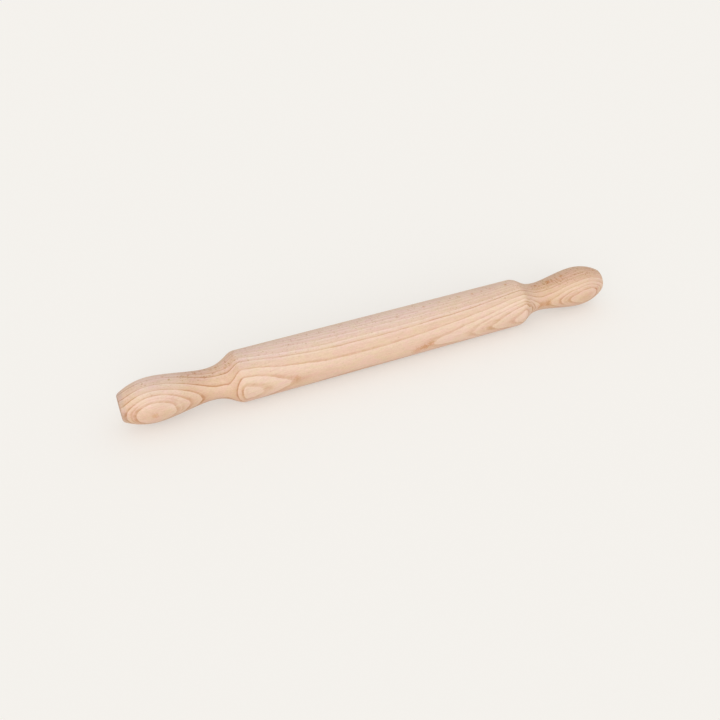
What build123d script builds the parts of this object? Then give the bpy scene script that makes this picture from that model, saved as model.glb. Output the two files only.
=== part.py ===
from build123d import *

import os

# A rolling pin turned from one billet: a cylindrical barrel with a bulbed handle at each end.
# Lengths are in millimetres. X runs along the pin, Z is up, and the origin is on the pin's
# axis at the middle of the barrel. Each curve of the outline is level at both of its ends, so
# the lathe work flows from barrel to shoulder, neck and grip with no crease.

# Barrel
barrel_diameter = 42
barrel_length = 253

# Shoulder, which falls from the end of the barrel to the neck
shoulder_length = 25.5
shoulder_crest_share = 0.28
shoulder_foot_share = 0.6

# Neck, the thinnest place, between the shoulder and the grip
neck_diameter = 25.25

# Grip, which swells from the neck to its crest
grip_length = 43
grip_diameter = 35.5
grip_foot_share = 0.26
grip_crest_share = 0.3

# Nose, which rounds off from the grip's crest to the flat end face. The face's diameter is the
# one that it would have if its rim were not rounded off.
nose_length = 25
end_face_diameter = 21
end_round = 3

# Places along the pin, from its middle outwards
shoulder_x = barrel_length / 2
neck_x = shoulder_x + shoulder_length
crest_x = neck_x + grip_length
end_x = crest_x + nose_length


def level_curve(start, end, start_share, end_share):
    """A curve that is level at both ends. Each share of its length sets how long it stays so."""
    run = end[0] - start[0]
    start_pull = (start[0] + run * start_share, start[1])
    end_pull = (end[0] - run * end_share, end[1])
    return Bezier(start, start_pull, end_pull, end)


def handle_outline():
    """The outline of one handle, from the end of the barrel out and in to the axis."""
    shoulder_top = (shoulder_x, barrel_diameter / 2)
    neck = (neck_x, neck_diameter / 2)
    crest = (crest_x, grip_diameter / 2)
    rim = (end_x, end_face_diameter / 2)
    shoulder = level_curve(shoulder_top, neck, shoulder_crest_share, shoulder_foot_share)
    grip = level_curve(neck, crest, grip_foot_share, grip_crest_share)
    nose = TangentArc(crest, rim, tangent=(1, 0))
    end_face = Line(rim, (end_x, 0))
    return [shoulder, grip, nose, end_face]


def pin_outline():
    """Half of the pin's long section, above the axis, as a face."""
    right = handle_outline()
    left = [mirror(edge, about=Plane.YZ) for edge in right]
    barrel = Line((-shoulder_x, barrel_diameter / 2), (shoulder_x, barrel_diameter / 2))
    axis = Line((-end_x, 0), (end_x, 0))
    return make_face([barrel, axis, *right, *left])


def turned_pin():
    """The billet turned to its outline, with the rim of each end face rounded off."""
    pin = revolve(pin_outline(), Axis.X)
    ends = pin.faces().sort_by(Axis.X)
    rims = ends[0].edges() + ends[-1].edges()
    return fillet(rims, end_round)


os.makedirs("parts", exist_ok=True)
export_step(turned_pin(), "parts/turned_beech_pin.step")
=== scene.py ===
import logging
import math
from dataclasses import dataclass
from enum import Enum

import bmesh
import bpy
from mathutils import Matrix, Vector


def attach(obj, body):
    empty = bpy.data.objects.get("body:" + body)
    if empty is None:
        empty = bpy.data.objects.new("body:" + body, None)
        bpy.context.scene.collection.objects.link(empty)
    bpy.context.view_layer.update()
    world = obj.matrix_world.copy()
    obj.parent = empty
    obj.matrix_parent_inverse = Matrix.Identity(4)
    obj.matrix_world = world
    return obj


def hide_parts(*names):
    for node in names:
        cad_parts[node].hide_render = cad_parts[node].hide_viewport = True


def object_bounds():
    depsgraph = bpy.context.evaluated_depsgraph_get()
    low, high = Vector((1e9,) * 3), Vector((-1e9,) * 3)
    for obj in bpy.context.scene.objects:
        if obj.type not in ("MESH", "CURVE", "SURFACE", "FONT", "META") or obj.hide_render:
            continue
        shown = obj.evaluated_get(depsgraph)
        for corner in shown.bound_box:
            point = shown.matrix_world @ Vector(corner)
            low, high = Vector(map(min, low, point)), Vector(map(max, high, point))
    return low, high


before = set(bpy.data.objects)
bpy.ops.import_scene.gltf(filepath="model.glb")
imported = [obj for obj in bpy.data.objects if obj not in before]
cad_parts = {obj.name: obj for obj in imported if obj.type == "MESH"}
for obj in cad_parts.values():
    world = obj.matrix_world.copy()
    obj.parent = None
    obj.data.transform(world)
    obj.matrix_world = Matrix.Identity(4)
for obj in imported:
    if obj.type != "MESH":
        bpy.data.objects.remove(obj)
cad_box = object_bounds()

# A rolling pin turned from one billet of beech, on a pale floor in soft light. X runs along the
# pin, Z is up, and the viewer stands on the -Y side. Sizes in the classes are in millimetres,
# and MM turns them into Blender's metres. Angles round the pin start at the side that faces -Y
# and turn towards the top.

MM = 0.001
ORIGIN = (0.0, 0.0, 0.0)
SOFT_NOISE = (0.3, 0.7)  # where the values of soft noise mostly lie

log = logging.getLogger("rolling_pin")

Colour = tuple[float, float, float]
Size = tuple[float, float, float]
Point = tuple[float, float]
Span = tuple[float, float]
Socket = bpy.types.NodeSocket
Node = bpy.types.Node
Tree = bpy.types.NodeTree
Object = bpy.types.Object
Row = tuple[float, ...]
Feed = float | Row | Socket


def put(name: str, data: bpy.types.ID) -> Object:
    """Puts a new object with this data into the scene.

    Args:
        name: The object's name.
        data: Its mesh, lamp or camera.

    Returns:
        The object.
    """
    thing = bpy.data.objects.new(name, data)
    bpy.context.scene.collection.objects.link(thing)
    return thing


class End(Enum):
    """Which end of the pin, as the sign of X there."""

    LEFT = -1
    RIGHT = 1


class Sum(Enum):
    """What a Math node does with its values."""

    ADD = "ADD"
    SUBTRACT = "SUBTRACT"
    MULTIPLY = "MULTIPLY"
    DIVIDE = "DIVIDE"
    MULTIPLY_ADD = "MULTIPLY_ADD"
    POWER = "POWER"
    MAXIMUM = "MAXIMUM"
    MINIMUM = "MINIMUM"
    ABSOLUTE = "ABSOLUTE"
    FLOOR = "FLOOR"
    FRACT = "FRACT"
    ARCTAN2 = "ARCTAN2"


class Lay(Enum):
    """How one colour is laid over another."""

    COVER = "MIX"
    STAIN = "MULTIPLY"


@dataclass
class Bench:
    """A node tree being wired, with a method for each kind of node that the finishes need. Its
    grid is how many nodes are drawn in a row, and how far apart, across and down."""

    tree: Tree
    grid: tuple[int, int, int] = (14, 190, -260)

    def __post_init__(self) -> None:
        """Clears the tree."""
        self.tree.nodes.clear()

    @classmethod
    def on(cls, block: bpy.types.ID) -> "Bench":
        """The bench for a new material or world."""
        block.use_nodes = True
        return cls(block.node_tree)

    def add(self, kind: str, *values: Feed, **settings: object) -> Node:
        """Adds one node.

        Args:
            kind: Blender's name for the kind of node, after ShaderNode.
            values: What goes into its first inputs, in their order.
            settings: The node's own properties and their values.

        Returns:
            The new node.
        """
        row, across, down = self.grid
        placed = len(self.tree.nodes)
        node = self.tree.nodes.new("ShaderNode" + kind)
        node.location = (across * (placed % row), down * (placed // row))
        for name, value in settings.items():
            setattr(node, name, value)
        for socket, value in zip(node.inputs, values):
            self.feed(socket, value)
        return node

    def feed(self, socket: Socket, value: Feed) -> None:
        """Links a socket to another one, or gives it a constant.

        Args:
            socket: The input to fill.
            value: An output socket, a number, or the parts of a vector or colour.
        """
        if isinstance(value, Socket):
            self.tree.links.new(value, socket)
        elif isinstance(value, tuple) and socket.type == "RGBA":
            socket.default_value = (*value, 1.0)
        else:
            socket.default_value = value

    def fill(self, node: Node, **values: Feed) -> Node:
        """Fills a node's inputs by name, with _ for a space.

        Args:
            node: The node.
            values: Its inputs.

        Returns:
            The same node.
        """
        for name, value in values.items():
            self.feed(node.inputs[name.replace("_", " ")], value)
        return node

    def sum(self, what: Sum, *values: Feed, clamp: bool = False) -> Socket:
        """Does arithmetic on one to three numbers, and holds it between 0 and 1 if clamp is set."""
        return self.add("Math", *values, operation=what.value,
                        use_clamp=clamp).outputs[0]

    def times(self, first: Feed, second: Feed, clamp: bool = False) -> Socket:
        """One number times another."""
        return self.sum(Sum.MULTIPLY, first, second, clamp=clamp)

    def plus(self, first: Feed, second: Feed) -> Socket:
        """Two numbers added."""
        return self.sum(Sum.ADD, first, second)

    def minus(self, first: Feed, second: Feed) -> Socket:
        """One number less another."""
        return self.sum(Sum.SUBTRACT, first, second)

    def scaled(self, value: Feed, by: Feed, shift: Feed) -> Socket:
        """A number times another, with a third added."""
        return self.sum(Sum.MULTIPLY_ADD, value, by, shift)

    def parts(self, vector: Feed) -> tuple[Socket, ...]:
        """The three parts of a vector."""
        return tuple(self.add("SeparateXYZ", vector).outputs)

    def joined(self, x: Feed, y: Feed, z: Feed) -> Socket:
        """A vector from its three parts."""
        return self.add("CombineXYZ", x, y, z).outputs[0]

    def length(self, vector: Feed) -> Socket:
        """The length of a vector."""
        return self.add("VectorMath", vector, operation="LENGTH").outputs["Value"]

    def stretched(self, vector: Feed, size: Feed) -> Socket:
        """A vector divided by a size, so that a pattern of unit grain gets that size."""
        return self.add("VectorMath", vector, size, operation="DIVIDE").outputs[0]

    def moved(self, vector: Feed, by: Feed) -> Socket:
        """A vector moved by another one."""
        return self.add("VectorMath", vector, by, operation="ADD").outputs[0]

    def fade(self, value: Feed, start: Feed, end: Feed, low: Feed = 0.0, high: Feed = 1.0,
             smooth: bool = True) -> Socket:
        """Goes from low to high as a value goes from start to end, and no further."""
        return self.add("MapRange", value, start, end, low, high, clamp=True,
                        interpolation_type="SMOOTHSTEP" if smooth else "LINEAR").outputs[0]

    def between(self, share: Feed, first: Feed, second: Feed) -> Socket:
        """A number that goes from first to second as share goes from 0 to 1."""
        return self.fade(share, 0.0, 1.0, first, second, smooth=False)

    def lay(self, how: Lay, share: Feed, under: Feed, over: Feed) -> Socket:
        """Lays one colour over another.

        Args:
            how: As a cover or as a stain.
            share: How strongly, from 0 to 1.
            under: The colour below.
            over: The colour laid on it.

        Returns:
            The mixed colour.
        """
        node = self.add("Mix", share, data_type="RGBA", blend_type=how.value)
        below, above, mixed = 6, 7, 2  # the sockets for colours
        self.feed(node.inputs[below], under)
        self.feed(node.inputs[above], over)
        return node.outputs[mixed]

    def curve(self, value: Feed, points: tuple[Point, ...]) -> Socket:
        """Reads a value off a smooth curve.

        Args:
            value: Where the curve is read.
            points: The curve's points, from left to right.

        Returns:
            The curve's height there.
        """
        left, right = points[0][0], points[-1][0]
        heights = [height for _, height in points]
        lowest, rise = min(heights), max(heights) - min(heights)
        node = self.add("FloatCurve")
        line = node.mapping.curves[0]
        while len(line.points) < len(points):
            line.points.new(0.5, 0.5)
        for dot, (place, height) in zip(line.points, points):
            dot.location = ((place - left) / (right - left), (height - lowest) / rise)
            dot.handle_type = "AUTO"
        node.mapping.update()
        self.fill(node, Value=self.fade(value, left, right, smooth=False))
        return self.scaled(node.outputs[0], rise, lowest)

    def steps(self, value: Feed, heights: Row) -> Socket:
        """Reads one of a row of heights, by a whole number from 0.

        Args:
            value: Which height.
            heights: The heights, each from 0 to 1.

        Returns:
            The height.
        """
        step = 1 / len(heights)
        node = self.add("ValToRGB", self.scaled(value, step, 0.5 * step))
        ramp = node.color_ramp
        ramp.interpolation = "CONSTANT"
        while len(ramp.elements) < len(heights):
            ramp.elements.new(0.5)
        for i, height in enumerate(heights):
            ramp.elements[i].position = i * step
            ramp.elements[i].color = (height, height, height, 1.0)
        return node.outputs[0]

    def noise(self, place: Feed, size: Feed, detail: float = 3.0, rough: float = 0.6,
              twist: float = 0.0) -> Socket:
        """Soft noise, from 0 to 1 and mostly near a half, with a grain of this size each way."""
        node = self.add("TexNoise", noise_dimensions="3D")
        return self.fill(node, Vector=self.stretched(place, size), Scale=1.0, Detail=detail,
                         Roughness=rough, Distortion=twist).outputs["Fac"]

    def place_group(self, tree: Tree, **values: Feed) -> Node:
        """Places a group and fills its inputs."""
        return self.fill(self.add("Group", node_tree=tree), **values)


class GroupBench(Bench):
    """The inside of a node group."""

    @classmethod
    def open(cls, name: str, **inputs: Feed) -> tuple["GroupBench", list[Socket]]:
        """Starts a group.

        Args:
            name: The group's name.
            inputs: The names and usual values of what it reads.

        Returns:
            The bench that the group is wired on, and what it reads.
        """
        tree = bpy.data.node_groups.new(name, "ShaderNodeTree")
        for label, value in inputs.items():
            kind = "NodeSocketVector" if isinstance(value, tuple) else "NodeSocketFloat"
            socket = tree.interface.new_socket(label, in_out="INPUT", socket_type=kind)
            socket.default_value = value
        bench = cls(tree)
        takes = tree.nodes.new("NodeGroupInput")
        return bench, [takes.outputs[label] for label in inputs]

    def close(self, **outputs: Feed) -> Tree:
        """Finishes the group.

        Args:
            outputs: The names and values of what it puts out.

        Returns:
            The group.
        """
        for label in outputs:
            self.tree.interface.new_socket(label, in_out="OUTPUT", socket_type="NodeSocketFloat")
        self.fill(self.tree.nodes.new("NodeGroupOutput"), **outputs)
        return self.tree


@dataclass(frozen=True)
class Billet:
    """How the billet lay in the tree before it was turned.

    The tree's middle was behind the pin, so that the growth rings bulge towards the viewer. The
    stem had a sweep, so that the straight billet passes through rings of different ages.

    Attributes:
        pith_distance: From the pin's axis back to the tree's middle.
        oval: How much more sharply than circles of that size the rings bend.
        facing: Place along the pin, and the angle round it that faced away from the tree's
            middle there, in degrees.
        sweep: Place along the pin, and how far the rings are shifted outwards there.
    """

    pith_distance: float = 55.0
    oval: float = 1.36
    facing: tuple[Point, ...] = (
        (-220, -3.2), (-150, -3.8), (-100, -5.2), (-30, -5.3), (50, -8.3), (115, -7.3),
        (160, -3.5), (220, -2.7),
    )
    sweep: tuple[Point, ...] = (
        (-220, -5.0), (-200, -8.1), (-180, -8.8), (-160, -10.45), (-145, -12.4),
        (-132, -15.75), (-120, -16.5), (-110, -17.25), (-90, -18.65), (-50, -19.9),
        (10, -19.65), (35, -19.0), (60, -18.45), (95, -17.05), (118, -15.8), (128, -15.45),
        (138, -12.25), (150, -11.2), (165, -11.8), (180, -12.6), (192, -13.15),
        (202, -12.6), (210, -11.6), (220, -8.4),
    )

    def group(self) -> Tree:
        """Makes the group that turns a place on the pin into a place in the tree.

        Returns:
            A group whose outputs are Along, the place along the stem; Round, how far round the
            tree's middle; Outward, the distance from it; Depth, the same with the sweep; and
            Turned, 0 where the surface faces away from the middle and 1 where it is side on.
        """
        bench, (place,) = GroupBench.open("place_in_the_tree", Place=ORIGIN)
        along = bench.parts(place)[0]
        turn = bench.times(bench.curve(along, self.facing), math.radians(1))
        turned = bench.add("VectorRotate", rotation_type="X_AXIS")
        bench.fill(turned, Vector=place, Angle=turn)
        _, back, side = bench.parts(turned.outputs[0])
        out = bench.minus(self.pith_distance, back)
        outward = bench.length(bench.joined(0.0, out, bench.times(side, self.oval)))
        depth = bench.plus(bench.minus(outward, self.pith_distance),
                           bench.curve(along, self.sweep))
        angle = bench.sum(Sum.ARCTAN2, side, out)
        side_share = bench.sum(Sum.DIVIDE, side, bench.length(bench.joined(0.0, back, side)))
        return bench.close(Along=along, Round=bench.times(angle, self.pith_distance),
                           Outward=outward, Depth=depth,
                           Turned=bench.sum(Sum.ABSOLUTE, side_share))


@dataclass(frozen=True)
class GrowthRings:
    """The yearly rings: pale early wood that darkens to a thin brown line of late wood.

    Attributes:
        years: Depth in the tree at the pin's left end, and age in years there. Age 3 is the
            ring line that runs the whole length of the front.
        old_year: How broad the years before these are.
        spacing: Place along the pin, and how broad the years are there against the left end.
        step, fewest: How far apart two ages are read, to learn how many years a millimetre
            holds, and the fewest that it is taken to hold.
        first_year: The age of the first of the strengths.
        strengths: How strong the line at the end of each year is: on the left handle, at the
            left and the right end of the barrel, and on the right handle.
        changes: Between which places along the pin each row of strengths gives way to the next.
        patch_size, patch_noise, patch_strength: The patches in which a line is weaker or
            stronger, the noise where it is most so, and how strong it is there.
        wave_size, wave: The size of the waves in a line, and how far they push it.
        late, late_bend: How far before its end a year's growth starts to darken, on the left
            handle and elsewhere, and how much of that comes at the end, as a power.
        line, line_full: How far before its end the thin brown line starts, at the left and the
            right end, and the share of that which is left where it is full.
        line_end: Where the line has gone and where it starts to go, before the year's end.
        early: How far into a year's growth the palest wood reaches.
    """

    years: tuple[Point, ...] = (
        (-24.5, -2), (-19.8, -1), (-14.8, 0), (-9, 1), (-5.45, 2), (0, 3), (3.6, 4), (5.87, 5),
        (7.1, 6), (7.9, 7), (10.2, 8), (13, 9),
    )
    old_year: float = 4.6
    spacing: tuple[Point, ...] = (
        (-220, 1), (-180, 0.97), (-155, 0.78), (-135, 0.77), (-115, 0.695), (-90, 0.65),
        (-50, 0.6), (0, 0.585), (50, 0.55), (90, 0.505), (118, 0.505), (135, 0.465),
        (160, 0.455), (220, 0.54),
    )
    step: float = 0.3
    fewest: float = 0.05
    first_year: int = -2
    strengths: tuple[Row, ...] = (
        (0.3, 0.3, 0.25, 0.58, 0.42, 0.38, 0.37, 0.22, 0.36, 0.3),
        (0.3, 0.18, 0.14, 0.32, 0.4, 0.39, 0.34, 0.2, 0.37, 0.3),
        (0.3, 0.25, 0.22, 0.77, 0.3, 0.25, 0.38, 0.22, 0.56, 0.3),
        (0.15, 0.15, 0.15, 0.4, 0.27, 0.24, 0.38, 0.25, 0.65, 0.3),
    )
    changes: tuple[Span, ...] = ((-150, -115), (-170, 130), (122, 145))
    patch_size: Size = (12, 4, 4)
    patch_noise: Span = (0.32, 0.68)
    patch_strength: Span = (0.5, 1.3)
    wave_size: Size = (26, 7, 7)
    wave: float = 0.35
    late: Span = (1.6, 1.05)
    late_bend: float = 1.6
    line: Span = (0.7, 0.45)
    line_full: float = 0.4
    line_end: Span = (-0.05, 0.12)
    early: float = 1.8

    def group(self) -> Tree:
        """Makes the group that says where a place is within its year's growth.

        Returns:
            A group whose outputs are Late, the soft darkening; Line, the thin brown line;
            Early, the palest wood; and Year, a chance number for each year.
        """
        bench, (place, along, depth) = GroupBench.open("growth_rings", Place=ORIGIN, Along=0.0,
                                                       Depth=0.0)
        waves = bench.noise(place, self.wave_size)
        depth = bench.plus(depth, bench.scaled(waves, 2 * self.wave, -self.wave))
        spacing = bench.curve(along, self.spacing)
        here, beyond = [self.age(bench, bench.sum(Sum.DIVIDE, at, spacing))
                        for at in (depth, bench.plus(depth, self.step))]
        growth = bench.sum(Sum.DIVIDE, bench.minus(beyond, here), self.step)
        growth = bench.sum(Sum.MAXIMUM, growth, self.fewest)
        year, share = bench.sum(Sum.FLOOR, here), bench.sum(Sum.FRACT, here)
        since = bench.sum(Sum.DIVIDE, share, growth)
        until = bench.sum(Sum.DIVIDE, bench.minus(1.0, share), growth)
        chance = bench.fill(bench.add("TexWhiteNoise", noise_dimensions="1D"), W=year)

        which = bench.minus(year, self.first_year)
        changed = [bench.fade(along, *places) for places in self.changes]
        strength = bench.steps(which, self.strengths[0])
        for share, row in zip(changed, self.strengths[1:]):
            strength = bench.between(share, strength, bench.steps(which, row))
        patches = bench.noise(place, self.patch_size)
        patches = bench.fade(patches, *self.patch_noise, *self.patch_strength)
        strength = bench.times(strength, patches)

        late_start = bench.between(changed[0], *self.late)
        late = bench.fade(until, late_start, 0.0, smooth=False)
        late = bench.sum(Sum.POWER, late, self.late_bend)
        line_start = bench.between(changed[1], *self.line)
        line = bench.fade(until, line_start, bench.times(line_start, self.line_full))
        line = bench.times(line, bench.fade(until, *self.line_end))
        return bench.close(Late=bench.times(late, strength), Line=bench.times(line, strength),
                           Early=bench.fade(since, 0.0, self.early, 1.0, 0.0),
                           Year=chance.outputs["Value"])

    def age(self, bench: Bench, depth: Feed) -> Socket:
        """The age in years at a depth in the tree, counted as at the pin's left end."""
        before = bench.sum(Sum.MINIMUM, bench.minus(depth, self.years[0][0]), 0.0)
        return bench.plus(bench.curve(depth, self.years), bench.times(before, 1 / self.old_year))


@dataclass(frozen=True)
class Stain:
    """What is left of each colour where something stains it, and the readings of that thing
    where the stain starts and where it is full."""

    tint: Colour
    start: float
    full: float

    def share(self, bench: Bench, reading: Feed) -> Socket:
        """How full the stain is at a reading, from 0 to 1."""
        return bench.fade(reading, self.start, self.full)

    def on(self, bench: Bench, reading: Feed, colour: Feed) -> Socket:
        """The colour with the stain on it."""
        return bench.lay(Lay.STAIN, self.share(bench, reading), colour, self.tint)


@dataclass(frozen=True)
class Stretch:
    """Places along the pin: where something starts to show, is full, fades, and has gone."""

    start: float
    full: float
    last: float
    end: float

    def share(self, bench: Bench, x: Feed) -> Socket:
        """How far a place is in the stretch, from 0 to 1."""
        return bench.times(bench.fade(x, self.start, self.full),
                           bench.fade(x, self.end, self.last))


@dataclass(frozen=True)
class Rays:
    """The rays of beech of one size: thin upright sheets that run outwards through the wood. On
    the face they show as short brown dashes, and on the sides as flecks.

    Attributes:
        size, cover: A ray's cell, along the stem, round the tree and outwards, and how much of
            it the largest ray fills.
        shift, strength: What makes one scatter differ from another, and how dark it is.
        smallest, core: The smallest ray against the largest, and how much of a ray is darkest.
    """

    size: Size
    cover: float
    shift: float
    strength: float
    smallest: float = 0.2
    core: float = 0.55

    def group(self) -> Tree:
        """Makes the group that scatters rays, to be placed once for each size.

        Returns:
            A group that reads the place in the tree, a cell's Size, Cover and Shift. Its
            outputs are Ray, 1 inside a ray, and Shade, a chance number for each ray.
        """
        bench, (place, size, cover, shift) = GroupBench.open(
            "wood_rays", Place=ORIGIN, Size=self.size, Cover=self.cover, Shift=self.shift)
        cells = bench.add("TexVoronoi", voronoi_dimensions="3D", feature="F1")
        where = bench.moved(bench.stretched(place, size), bench.joined(shift, shift, shift))
        bench.fill(cells, Vector=where, Scale=1.0)
        first, second, _ = bench.parts(cells.outputs["Color"])
        reach = bench.times(cover, bench.fade(first, 0.0, 1.0, self.smallest, 1.0))
        ray = bench.fade(cells.outputs["Distance"], reach, bench.times(reach, self.core))
        return bench.close(Ray=ray, Shade=second)


@dataclass(frozen=True)
class Mottle:
    """Mottling or streaks in the wood: their size, what they do to the colour, how many finer
    layers they have and how strong those are, and how far they are pulled out of shape."""

    size: Size
    stains: tuple[Stain, ...]
    detail: float = 3.0
    rough: float = 0.6
    twist: float = 0.0

    def noise(self, bench: Bench, place: Feed) -> Socket:
        """How strong it is at a place."""
        return bench.noise(place, self.size, self.detail, self.rough, self.twist)


@dataclass(frozen=True)
class Mark:
    """One darker fleck or blotch that stands out: its place along the pin, the angle round it in
    degrees, the pin's radius there, half of its length and breadth, and how dark it is."""

    x: float
    angle: float
    radius: float
    long: float
    broad: float
    strength: float

    def back(self) -> Size:
        """The way from the mark's middle to the pin's."""
        turn = math.radians(self.angle)
        return -self.x, self.radius * math.cos(turn), -self.radius * math.sin(turn)


@dataclass(frozen=True)
class Marks:
    """The single marks.

    Attributes:
        tint: What they leave of each colour.
        grain, fray: The size of the frays of their edges, and their depth against a mark's size.
        core: The share of a mark that is fully dark.
        each: The marks, those along the top first.
    """

    tint: Colour = (0.80, 0.55, 0.32)
    grain: Size = (1.4, 0.7, 0.7)
    fray: float = 0.4
    core: float = 0.35
    each: tuple[Mark, ...] = (
        Mark(162.5, 87, 13.5, 2.6, 2.8, 1), Mark(160.5, 80, 13.3, 1.6, 1.6, 0.6),
        Mark(166.2, 85, 14, 1, 1.7, 0.6), Mark(171, 82, 14.8, 1.2, 1.6, 0.5),
        Mark(172.5, 73, 15, 1.3, 1.4, 0.5), Mark(176.8, 89, 15.8, 1.9, 2.2, 0.9),
        Mark(205, 91, 16.2, 3.5, 3, 0.35), Mark(211, 81, 14.6, 3, 2.6, 0.4),
        Mark(152.5, 80, 12.6, 1.4, 1.3, 0.5), Mark(149.5, 87, 12.7, 1.6, 1.6, 0.8),
        Mark(145, 86, 13.1, 1.4, 1.5, 0.7), Mark(117.8, 94, 21, 1.8, 2, 0.7),
        Mark(102, 93, 21, 1.3, 1.5, 0.4), Mark(93, 92, 21, 1.3, 1.5, 0.4),
        Mark(83.5, 91, 21, 1.6, 2, 0.6), Mark(71, 92, 21, 1.4, 1.8, 0.45),
        Mark(51, 91, 21, 1.3, 1.5, 0.35), Mark(36, 90, 21, 1.4, 1.8, 0.45),
        Mark(22, 92, 21, 1.3, 1.5, 0.35), Mark(-133.5, 73, 17.4, 1.3, 1.8, 0.45),
        Mark(-138, 75, 15.4, 1.2, 1.8, 0.5), Mark(-144.4, 96, 13.4, 1.2, 2, 0.6),
        Mark(-160.5, 95, 13.3, 1.8, 1.7, 0.7), Mark(-166, 90, 14.2, 1.5, 1.7, 0.5),
        Mark(-156.2, 105, 12.8, 1.3, 1.4, 0.6), Mark(-170, 88, 14.9, 1.4, 1.4, 0.5),
        Mark(-148.5, 97, 12.8, 1.7, 2, 0.4), Mark(-184.5, 100, 17, 1.6, 1.8, 0.5),
        Mark(-197.5, -6, 17.7, 3.2, 3.8, 0.45), Mark(-86, 0, 21, 3.2, 4, 0.4),
        Mark(21.5, -19, 21, 7, 4.5, 0.5), Mark(27.5, -14.5, 21, 6, 4.2, 0.7),
        Mark(33.5, -8.5, 21, 4.5, 3.8, 0.65), Mark(150, -6, 12.7, 6, 4.5, 0.4),
        Mark(157.5, -4, 12.9, 4.5, 4.5, 0.6),
    )

    def on(self, bench: Bench, place: Feed, colour: Feed) -> Socket:
        """The colour with the marks on it.

        Args:
            bench: The material's bench.
            place: The place on the pin.
            colour: The colour below.

        Returns:
            The marked colour.
        """
        fray = bench.fade(bench.noise(place, self.grain, 2.0), *SOFT_NOISE, -self.fray, self.fray)
        total = 0.0
        for mark in self.each:
            away = bench.moved(place, mark.back())
            away = bench.length(bench.stretched(away, (mark.long, mark.broad, mark.broad)))
            here = bench.fade(bench.plus(away, fray), 1.0, self.core, 0.0, mark.strength)
            total = bench.sum(Sum.MAXIMUM, here, total)
        return bench.lay(Lay.STAIN, total, colour, self.tint)


@dataclass(frozen=True)
class Relief:
    """The fine relief that sanding leaves. Below 0 is low.

    Attributes:
        depth, strength: Its depth, and how strongly it bends the light.
        scratch_size: The size of the sanding scratches, which run round the pin.
        heights: How high the finest streaks, the scratches, the ring lines and the rays stand.
    """

    depth: float = 0.03
    strength: float = 0.6
    scratch_size: Size = (0.5, 14, 14)
    heights: Row = (-0.6, 0.25, 0.35, -0.3)

    def normal(self, bench: Bench, place: Feed, hair: Feed, line: Feed, ray: Feed) -> Socket:
        """The surface's direction, bent by the relief.

        Args:
            bench: The material's bench.
            place: The place on the pin.
            hair: The finest streaks.
            line: The ring lines.
            ray: The rays.

        Returns:
            The bent normal.
        """
        height = 1.0
        scratch = bench.noise(place, self.scratch_size, 2.0)
        for reading, high in zip((hair, scratch, line, ray), self.heights):
            height = bench.scaled(reading, high, height)
        return bench.fill(bench.add("Bump"), Strength=self.strength,
                          Distance=self.depth * MM, Height=height).outputs[0]


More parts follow.
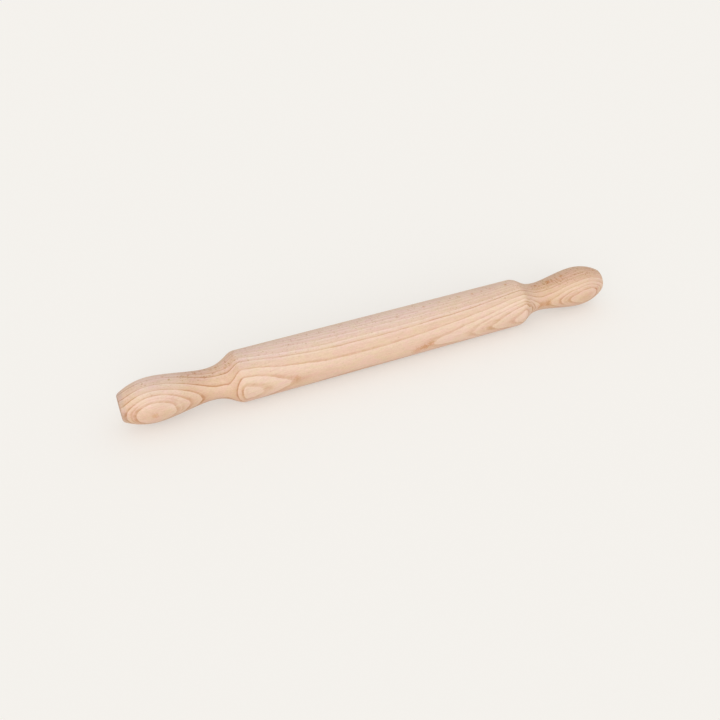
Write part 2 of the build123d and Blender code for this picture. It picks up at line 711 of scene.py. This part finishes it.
@dataclass(frozen=True)
class Beech:
    """Bare, fine sanded beech, cut so that the rings face the viewer.

    Attributes:
        billet, rings, rays: How it lay in the tree, its years, and its rays of three sizes.
        ray_shares: How strongly the rays show on the front, how much more where the rings are
            side on, and how much more on the upper sides.
        hair, mottles: The finest streaks, then the broadest, the clouding, speckle and blush.
        pale, pale_side_with_painted_sheen: The palest early wood, on the face and where the rings
            stand on edge. The latter is pinker and greyer: partly the wood's own tone, partly a
            painted sheen on the top of the pin.
        side_on: How far a place is turned where a side begins and where it is full.
        right_side: What stains the sides, by the place along the pin.
        body, late, line, ray: What stains most of a year's growth, its end, the thin line
            after it, and a ray.
        year, year_share: What stains some years more than others, and how much at most.
        slanted: What stains the necks, and where the fibres are cut at a slant.
        slant_right: Between which places that gets weaker, and how strong it is at each.
        steep: What stains where they are cut at a steep slant besides.
        waist: Where the shoulders and necks are, from the pin's middle.
        crest, crest_soak: The right shoulder, and how much darker the rings are there.
        upper: What stains the upper sides of the necks and of the right handle.
        upper_turn, upper_reach: The angle round the pin of the middle of the upper side, and
            how far from there it ends and how far it is full.
        upper_neck, upper_handle: How strong that stain is on the necks, and between which
            places it comes in on the right handle.
        right, right_handle: What stains the right handle all round, and where.
        left_rim_painted_shade: The painted greyish shade on the rounded rim of the left end, by the
            place along the pin.
        end_grain: What stains the two ends, by the slant of the surface.
        roughness: Of the sanded faces, between the finest streaks and on them.
        end_roughness, neck_wear: The ends' own, and how much smoother the necks are.
        ior: How strongly the surface bends light.
    """

    billet: Billet = Billet()
    rings: GrowthRings = GrowthRings()
    rays: tuple[Rays, ...] = (
        Rays((2.0, 0.4, 9.0), 0.5, 0.0, 0.5),
        Rays((2.3, 0.8, 5.0), 0.42, 7.3, 0.6),
        Rays((5.0, 2.0, 9.0), 0.22, 3.1, 1.2),
    )
    ray_shares: Row = (0.4, 0.9, 1.6)
    hair: Mottle = Mottle((9, 0.42, 0.42), (Stain((0.92, 0.89, 0.86), 0.42, 0.72),))
    mottles: tuple[Mottle, ...] = (
        Mottle((90, 3.2, 3.2), (Stain((0.97, 0.955, 0.93), 0.3, 0.7),)),
        Mottle((22, 9, 9), (Stain((0.985, 0.95, 0.96), 0.4, 0.65),
                            Stain((0.985, 0.98, 0.93), 0.6, 0.35)), 3.0, 0.55, 0.3),
        Mottle((1.6, 1, 1), (Stain((0.95, 0.94, 0.93), 0.3, 0.7),), 1.0, 0.5),
        Mottle((6, 2.5, 2.5), (Stain((1.0, 0.96, 0.985), 0.4, 0.65),
                               Stain((0.975, 0.985, 0.94), 0.6, 0.35)), 2.0, 0.6, 0.4),
    )
    marks: Marks = Marks()
    relief: Relief = Relief()
    pale: Colour = (0.862, 0.682, 0.566)
    pale_side_with_painted_sheen: Colour = (0.862, 0.695, 0.622)
    side_on: Span = (0.75, 1.0)
    right_side: Stain = Stain((0.96, 0.93, 0.87), 10, 100)
    body: Colour = (0.94, 0.895, 0.84)
    late: Colour = (0.87, 0.775, 0.69)
    line: Colour = (0.80, 0.655, 0.53)
    ray: Colour = (0.78, 0.67, 0.54)
    year: Colour = (0.96, 0.93, 0.89)
    year_share: float = 0.35
    slanted: Stain = Stain((0.945, 0.90, 0.845), 0.08, 0.42)
    steep: Stain = Stain((0.98, 0.97, 0.955), 0.15, 0.5)
    slant_right: Row = (110, 135, 1.0, 0.45)
    waist: Stretch = Stretch(124, 135, 164, 182)
    crest: Stretch = Stretch(122, 130, 142, 150)
    crest_soak: float = 0.7
    upper: Colour = (0.93, 0.87, 0.80)
    upper_turn: float = 115
    upper_reach: Span = (75, 40)
    upper_neck: float = 0.5
    upper_handle: Span = (128, 150)
    right: Colour = (0.945, 0.915, 0.87)
    right_handle: Stretch = Stretch(138, 150, 200, 215)
    left_rim_painted_shade: Stain = Stain((0.87, 0.89, 0.95), -214.5, -218)
    end_grain: Stain = Stain((0.86, 0.80, 0.74), 0.75, 0.97)
    roughness: Span = (0.47, 0.58)
    end_roughness: float = 0.70
    neck_wear: float = 0.04
    ior: float = 1.45

    def material(self) -> bpy.types.Material:
        """Makes the wood's material.

        Returns:
            The material.
        """
        material = bpy.data.materials.new("fine_sanded_beech")
        bench = Bench.on(material)
        coordinates = bench.add("TexCoord")
        place = bench.stretched(coordinates.outputs["Object"], (MM, MM, MM))
        x, y, z = bench.parts(place)
        slant = bench.sum(Sum.ABSOLUTE, bench.parts(coordinates.outputs["Normal"])[0])
        tree = bench.place_group(self.billet.group(), Place=place)
        along, round_, outward, depth, turned = tree.outputs
        rings = bench.place_group(self.rings.group(), Place=place, Along=along, Depth=depth)
        late, line, early, year = rings.outputs
        scatter, in_tree = self.rays[0].group(), bench.joined(along, round_, outward)
        rays = [bench.place_group(scatter, Place=in_tree, Size=ray.size, Cover=ray.cover,
                                  Shift=ray.shift) for ray in self.rays]
        hair = self.hair.noise(bench, place)

        side_on = bench.fade(turned, *self.side_on)
        thin = self.waist.share(bench, bench.sum(Sum.ABSOLUTE, x))
        upper = bench.sum(Sum.MAXIMUM, bench.times(thin, self.upper_neck),
                          bench.fade(x, *self.upper_handle))
        upper = bench.times(self.upper_side(bench, y, z), upper)
        slanted = bench.sum(Sum.MAXIMUM, thin, self.slanted.share(bench, slant))
        slanted = bench.times(slanted, bench.fade(x, *self.slant_right))
        soaked = bench.scaled(self.crest.share(bench, x), self.crest_soak,
                              bench.plus(slanted, 1.0))
        right_side = bench.times(side_on, self.right_side.share(bench, x))

        # Where the rings stand on edge, the wood turns pinker and greyer: partly its own tone,
        # partly a painted sheen on the top of the pin.
        colour = bench.lay(Lay.COVER, side_on, self.pale, self.pale_side_with_painted_sheen)
        colour = bench.lay(Lay.STAIN, bench.minus(1.0, early), colour, self.body)
        for part, tint in ((late, self.late), (line, self.line)):
            colour = bench.lay(Lay.STAIN, bench.times(part, soaked, clamp=True), colour, tint)
        colour = bench.lay(Lay.STAIN, bench.times(year, self.year_share), colour, self.year)
        readings = [(mottle, mottle.noise(bench, place)) for mottle in self.mottles]
        for mottle, noise in (*readings, (self.hair, hair)):
            for stain in mottle.stains:
                colour = stain.on(bench, noise, colour)
        colour = bench.lay(Lay.STAIN, slanted, colour, self.slanted.tint)
        colour = self.steep.on(bench, slant, colour)
        for share, tint in ((upper, self.upper), (self.right_handle.share(bench, x), self.right),
                            (right_side, self.right_side.tint)):
            colour = bench.lay(Lay.STAIN, share, colour, tint)
        # The rounded rim of the left end is darkened and greyed: painted shade at that edge.
        colour = self.left_rim_painted_shade.on(bench, x, colour)
        front, side, top = self.ray_shares
        more = bench.scaled(upper, top, bench.scaled(side_on, side, front))
        for placed, ray in zip(rays, self.rays):
            shade = bench.times(*placed.outputs)
            share = bench.times(bench.times(shade, ray.strength), more, clamp=True)
            colour = bench.lay(Lay.STAIN, share, colour, self.ray)
        colour = self.marks.on(bench, place, colour)
        colour = self.end_grain.on(bench, slant, colour)

        rough = bench.fade(hair, *SOFT_NOISE, *self.roughness)
        rough = bench.between(self.end_grain.share(bench, slant), rough, self.end_roughness)
        rough = bench.scaled(thin, -self.neck_wear, rough)
        normal = self.relief.normal(bench, place, hair, line, rays[0].outputs["Ray"])
        shader = bench.fill(bench.add("BsdfPrincipled"), Base_Color=colour,
                            Roughness=rough, IOR=self.ior, Normal=normal)
        bench.add("OutputMaterial", shader.outputs[0])
        return material

    def upper_side(self, bench: Bench, y: Feed, z: Feed) -> Socket:
        """How far a place is on the upper and rear side of the pin.

        Args:
            bench: The material's bench.
            y: Place towards the back.
            z: Height.

        Returns:
            1 from the top to the back, fading to 0 at the front.
        """
        turn = bench.sum(Sum.ARCTAN2, z, bench.times(y, -1.0))
        away = bench.sum(Sum.ABSOLUTE, bench.minus(turn, math.radians(self.upper_turn)))
        away = bench.sum(Sum.MINIMUM, away, bench.minus(math.tau, away))
        return bench.fade(away, *map(math.radians, self.upper_reach))


@dataclass
class TurnedOutline:
    """The outline that the lathe follows, from the pin's middle to the middle of its end.

    Every curve of it is level at both ends, so that barrel, shoulder, neck and grip flow into
    each other with no crease. The end face's diameter is the one before its rim is rounded off.
    The stations are how many points the barrel, shoulder, grip, nose and rounded rim have.
    """

    barrel_diameter: float = 42
    barrel_length: float = 253
    shoulder_length: float = 25.5
    shoulder_crest_share: float = 0.28
    shoulder_foot_share: float = 0.6
    neck_diameter: float = 25.25
    grip_length: float = 43
    grip_diameter: float = 35.5
    grip_foot_share: float = 0.26
    grip_crest_share: float = 0.3
    nose_length: float = 25
    end_face_diameter: float = 21
    end_round: float = 3
    stations: tuple[int, ...] = (50, 26, 30, 20, 6)

    @property
    def shoulder_x(self) -> float:
        """Where the barrel ends."""
        return self.barrel_length / 2

    @property
    def neck_x(self) -> float:
        """Where the pin is thinnest."""
        return self.shoulder_x + self.shoulder_length

    @property
    def crest_x(self) -> float:
        """Where the grip is thickest."""
        return self.neck_x + self.grip_length

    @property
    def end_x(self) -> float:
        """Where the end face is."""
        return self.crest_x + self.nose_length

    def level_curve(self, start: Point, end: Point, start_share: float, end_share: float,
                    stations: int) -> list[Point]:
        """A curve that is level at both ends, without its last point.

        Args:
            start: Place along the pin and radius where it starts.
            end: The same where it ends.
            start_share: The share of its length that pulls it level at the start.
            end_share: The same at the end.
            stations: How many points it has.

        Returns:
            Its points.
        """
        run = end[0] - start[0]
        pulls = (start, (start[0] + run * start_share, start[1]),
                 (end[0] - run * end_share, end[1]), end)
        points = []
        for i in range(stations):
            t = i / stations
            weights = ((1 - t) ** 3, 3 * t * (1 - t) ** 2, 3 * t * t * (1 - t), t ** 3)
            points.append(tuple(sum(w * p[axis] for w, p in zip(weights, pulls))
                                for axis in (0, 1)))
        return points

    def nose(self) -> list[Point]:
        """The round nose from the grip's crest, and the rounded rim of the end face.

        Returns:
            Their points, up to the edge of the flat end face.
        """
        crest, rim = self.grip_diameter / 2, self.end_face_diameter / 2
        drop = crest - rim
        big = (self.nose_length ** 2 + drop ** 2) / (2 * drop)
        centre_x, centre_r = self.crest_x, crest - big
        small_x = self.end_x - self.end_round
        reach = small_x - centre_x
        small_r = centre_r + math.sqrt((big - self.end_round) ** 2 - reach ** 2)
        meet = math.atan2(reach, small_r - centre_r)
        *_, long, short = self.stations
        turns = [meet * i / long for i in range(long)]
        points = [(centre_x + big * math.sin(turn), centre_r + big * math.cos(turn))
                  for turn in turns]
        turns = [meet + (math.pi / 2 - meet) * i / short for i in range(short + 1)]
        return points + [(small_x + self.end_round * math.sin(turn),
                          small_r + self.end_round * math.cos(turn)) for turn in turns]

    def half(self) -> list[Point]:
        """The outline of one half of the pin.

        Returns:
            Its points, from the middle of the barrel to the edge of the end face.
        """
        along, down, up, *_ = self.stations
        radius = self.barrel_diameter / 2
        barrel = [(self.shoulder_x * i / along, radius) for i in range(along)]
        neck = (self.neck_x, self.neck_diameter / 2)
        shoulder = self.level_curve((self.shoulder_x, radius), neck, self.shoulder_crest_share,
                                    self.shoulder_foot_share, down)
        grip = self.level_curve(neck, (self.crest_x, self.grip_diameter / 2),
                                self.grip_foot_share, self.grip_crest_share, up)
        return [*barrel, *shoulder, *grip, *self.nose()]


@dataclass
class Atlas:
    """The flat map of the turned surface, so that its grain can be kept as a picture.

    Each half of the pin is one strip, and the two end faces are discs beside them.

    Attributes:
        side, gap: The side of the square that the map fills, and the gap between its parts.
        girth, disc: The height of a strip, and the radius of a disc.
    """

    side: float = 274
    gap: float = 3
    girth: float = 131.9
    disc: float = 9.0

    def strip(self, end: End, along: float, turn: float) -> Point:
        """A place in the map, by the distance along the outline and the share of a turn."""
        base = self.gap if end is End.LEFT else 2 * self.gap + self.girth
        return (self.gap + along) / self.side, (base + turn * self.girth) / self.side

    def end_disc(self, end: End, y: float, z: float) -> Point:
        """A place on an end face, as a place in the map."""
        up = self.gap + self.disc if end is End.LEFT else self.side - self.gap - self.disc
        return (self.side - 2 * self.gap - self.disc + y) / self.side, (up + z) / self.side


@dataclass
class TurnedPin:
    """The whole pin, turned from one billet.

    Attributes:
        outline, atlas, finish: What the lathe follows, the map of its surface, and the wood.
        sides: How many flats the surface has round it, too many to be seen.
        rings: How many rings of faces each end face has.
    """

    outline: TurnedOutline
    atlas: Atlas
    finish: Beech
    sides: int = 144
    rings: int = 4

    def ring(self, work: bmesh.types.BMesh, x: float, radius: float) -> list:
        """Makes a ring of points round the pin, from the bottom on."""
        turns = [math.tau * step / self.sides - math.pi / 2 for step in range(self.sides)]
        return [work.verts.new(Vector((x, -radius * math.cos(turn), radius * math.sin(turn))) * MM)
                for turn in turns]

    def face(self, work: bmesh.types.BMesh, end: End, corners: list) -> None:
        """Makes a face that looks outwards.

        Args:
            work: The mesh being made.
            end: The half of the pin that it is on.
            corners: Its points, each with its place in the map. Seen from outside they go round
                anticlockwise on the right half, and clockwise on the left one.
        """
        if end is End.LEFT:
            corners.reverse()
        layer = work.loops.layers.uv.active
        made = work.faces.new([point for point, _ in corners])
        for loop, (_, place) in zip(made.loops, corners):
            loop[layer].uv = place

    def turn_half(self, work: bmesh.types.BMesh, end: End, middle: list) -> None:
        """Turns one half of the pin, from the ring of points at its middle.

        Args:
            work: The mesh being made.
            end: The half.
            middle: The points round the middle of the barrel, which both halves share.
        """
        outline = self.outline.half()
        before, walked = middle, 0.0
        for last, here in zip(outline, outline[1:]):
            after = self.ring(work, end.value * here[0], here[1])
            reached = walked + math.dist(last, here)
            for j in range(self.sides):
                nxt = (j + 1) % self.sides
                self.face(work, end, [
                    (point, self.atlas.strip(end, along, turn / self.sides))
                    for point, along, turn in (
                        (before[j], walked, j), (after[j], reached, j),
                        (after[nxt], reached, j + 1), (before[nxt], walked, j + 1))])
            before, walked = after, reached
        self.close_end(work, end, outline[-1], before)

    def close_end(self, work: bmesh.types.BMesh, end: End, edge: Point, rim: list) -> None:
        """Makes a flat end face in rings towards its middle.

        Args:
            work: The mesh being made.
            end: The half.
            edge: Place along the pin and radius of the face's edge.
            rim: The points round it.
        """
        x, radius = end.value * edge[0], edge[1]
        for i in range(self.rings - 1, -1, -1):
            if i:
                inner = self.ring(work, x, radius * i / self.rings)
            else:
                inner = [work.verts.new((x * MM, 0.0, 0.0))] * self.sides
            for j in range(self.sides):
                nxt = (j + 1) % self.sides
                points = [rim[j], inner[j], inner[nxt], rim[nxt]] if i else [
                    rim[j], inner[j], rim[nxt]]
                self.face(work, end, [(point, self.atlas.end_disc(end, *(point.co / MM).yz))
                                      for point in points])
            rim = inner

    def build(self) -> Object:
        """Turns the pin and puts it in place of its solid.

        Returns:
            The pin.
        """
        work = bmesh.new()
        work.loops.layers.uv.new("OFBake")
        middle = self.ring(work, 0.0, self.outline.barrel_diameter / 2)
        for end in End:
            self.turn_half(work, end, middle)
        mesh = bpy.data.meshes.new("turned_pin")
        work.to_mesh(mesh)
        work.free()
        mesh.polygons.foreach_set("use_smooth", [True] * len(mesh.polygons))
        pin = put("turned_pin", mesh)
        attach(pin, "root")
        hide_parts("turned_beech_pin")
        return pin

    def dress(self, pin: Object) -> None:
        """Gives the pin its wood."""
        pin.data.materials.append(self.finish.material())


@dataclass
class Studio:
    """A plain pale floor under the pin, in soft light from all round and from the front.

    Attributes:
        floor_size: The side of the floor, in metres.
        floor_colour, floor_seen: The floor's own colour, which lights the pin from below, and
            its colour where it is looked at.
        floor_glow, glow_share: What the looked at floor shows besides, and the share of it, so
            that the wood's colour hardly shows in the floor.
        backdrop: The colour of what is behind everything.
        sky, key: How bright the light from all round and the soft lamp are, where 1 shows a
            colour as it is written.
        key_breadth, key_height, key_round: How broad the lamp looks from the pin, how high it
            stands, and how far to the left of the pin's front, in degrees.
    """

    floor_size: float = 12.0
    floor_colour: Colour = (0.72, 0.63, 0.55)
    floor_seen: Colour = (0.93, 0.905, 0.865)
    floor_glow: Colour = (0.97, 0.945, 0.90)
    glow_share: float = 0.4
    backdrop: Colour = (0.9131, 0.8879, 0.8469)
    sky: float = 0.745
    key: float = 0.52
    key_breadth: float = 70.0
    key_height: float = 20.0
    key_round: float = 30.0

    def lay_floor(self) -> Object:
        """Lays the floor under the barrel.

        Returns:
            The floor.
        """
        half, height = self.floor_size / 2, cad_box[0][2]
        mesh = bpy.data.meshes.new("floor")
        corners = [(-half, -half, height), (half, -half, height),
                   (half, half, height), (-half, half, height)]
        mesh.from_pydata(corners, [], [(0, 1, 2, 3)])
        mesh.materials.append(self.floor_material())
        floor = put("floor", mesh)
        return floor

    def looked_at(self, bench: Bench) -> Socket:
        """1 for the rays that show a thing to the viewer, and 0 for those that light it."""
        rays = bench.add("LightPath").outputs
        return bench.sum(Sum.MAXIMUM, rays["Is Camera Ray"], bench.sum(
            Sum.MAXIMUM, rays["Is Glossy Ray"], rays["Is Transmission Ray"]))

    def floor_material(self) -> bpy.types.Material:
        """Makes the floor's plain pale finish.

        Returns:
            The material.
        """
        material = bpy.data.materials.new("pale_floor")
        bench = Bench.on(material)
        looks = self.looked_at(bench)
        seen = bench.lay(Lay.COVER, looks, self.floor_colour, self.floor_seen)
        matt = bench.add("BsdfDiffuse", seen)
        glow = bench.add("Emission", self.floor_glow)
        both = bench.add("MixShader", bench.times(looks, self.glow_share),
                         matt.outputs[0], glow.outputs[0])
        bench.add("OutputMaterial", both.outputs[0])
        return material

    def hang_lamp(self) -> Object:
        """Hangs the broad soft lamp in front of the pin.

        Returns:
            The lamp.
        """
        light = bpy.data.lights.new("soft_lamp", "SUN")
        light.energy = self.key * math.pi
        light.angle = math.radians(self.key_breadth)
        turn, height = math.radians(self.key_round), math.radians(self.key_height)
        towards = Vector((-math.sin(turn) * math.cos(height),
                          -math.cos(turn) * math.cos(height), math.sin(height)))
        lamp = put("soft_lamp", light)
        lamp.rotation_mode = "QUATERNION"
        lamp.rotation_quaternion = towards.to_track_quat("Z", "Y")
        lamp.location = towards
        return lamp

    def light_all_round(self) -> None:
        """Lights the scene evenly, and puts the pale backdrop where the camera looks past it."""
        world = bpy.data.worlds.new("pale_studio")
        bpy.context.scene.world = world
        bench = Bench.on(world)
        even = bench.add("Background", (1.0, 1.0, 1.0), self.sky)
        backdrop = bench.add("Background", self.backdrop, 1.0)
        either = bench.add("MixShader", self.looked_at(bench), even.outputs[0],
                           backdrop.outputs[0])
        bench.add("OutputWorld", either.outputs[0])


@dataclass
class Viewpoint:
    """Where the viewer stands, in millimetres, how wide the lens is, and the nearest and the
    furthest that is seen, in metres."""

    stand: Size = (-230.48, -460.75, 375.07)
    look_at: Size = (-22.59, 0.0, -17.14)
    lens: float = 37.776
    sensor: float = 36.0
    clip: Span = (0.01, 50.0)

    def set_up(self) -> Object:
        """Sets up the camera.

        Returns:
            The camera.
        """
        camera = put("viewpoint", bpy.data.cameras.new("viewpoint"))
        stand, target = Vector(self.stand) * MM, Vector(self.look_at) * MM
        camera.location = stand
        camera.rotation_mode = "QUATERNION"
        camera.rotation_quaternion = (target - stand).to_track_quat("-Z", "Y")
        camera.data.lens = self.lens
        camera.data.sensor_width = self.sensor
        camera.data.clip_start, camera.data.clip_end = self.clip
        bpy.context.scene.camera = camera
        return camera


def main() -> None:
    """Sets up the view, turns and dresses the pin, and lights it."""
    logging.basicConfig(level=logging.INFO, format="%(message)s")
    bpy.context.scene.view_settings.view_transform = "Standard"
    camera = Viewpoint().set_up()
    log.info("%s: lens %.1f mm", camera.name, camera.data.lens)
    maker = TurnedPin(TurnedOutline(), Atlas(), Beech())
    pin = maker.build()
    maker.dress(pin)
    log.info("%s: %d faces in %s", pin.name, len(pin.data.polygons),
             pin.data.materials[0].name)
    studio = Studio()
    floor = studio.lay_floor()
    log.info("%s: %.0f m square", floor.name, studio.floor_size)
    lamp = studio.hang_lamp()
    log.info("%s: %.0f degrees broad", lamp.name, studio.key_breadth)
    studio.light_all_round()
    bpy.context.view_layer.update()


if __name__ == "__main__":
    main()
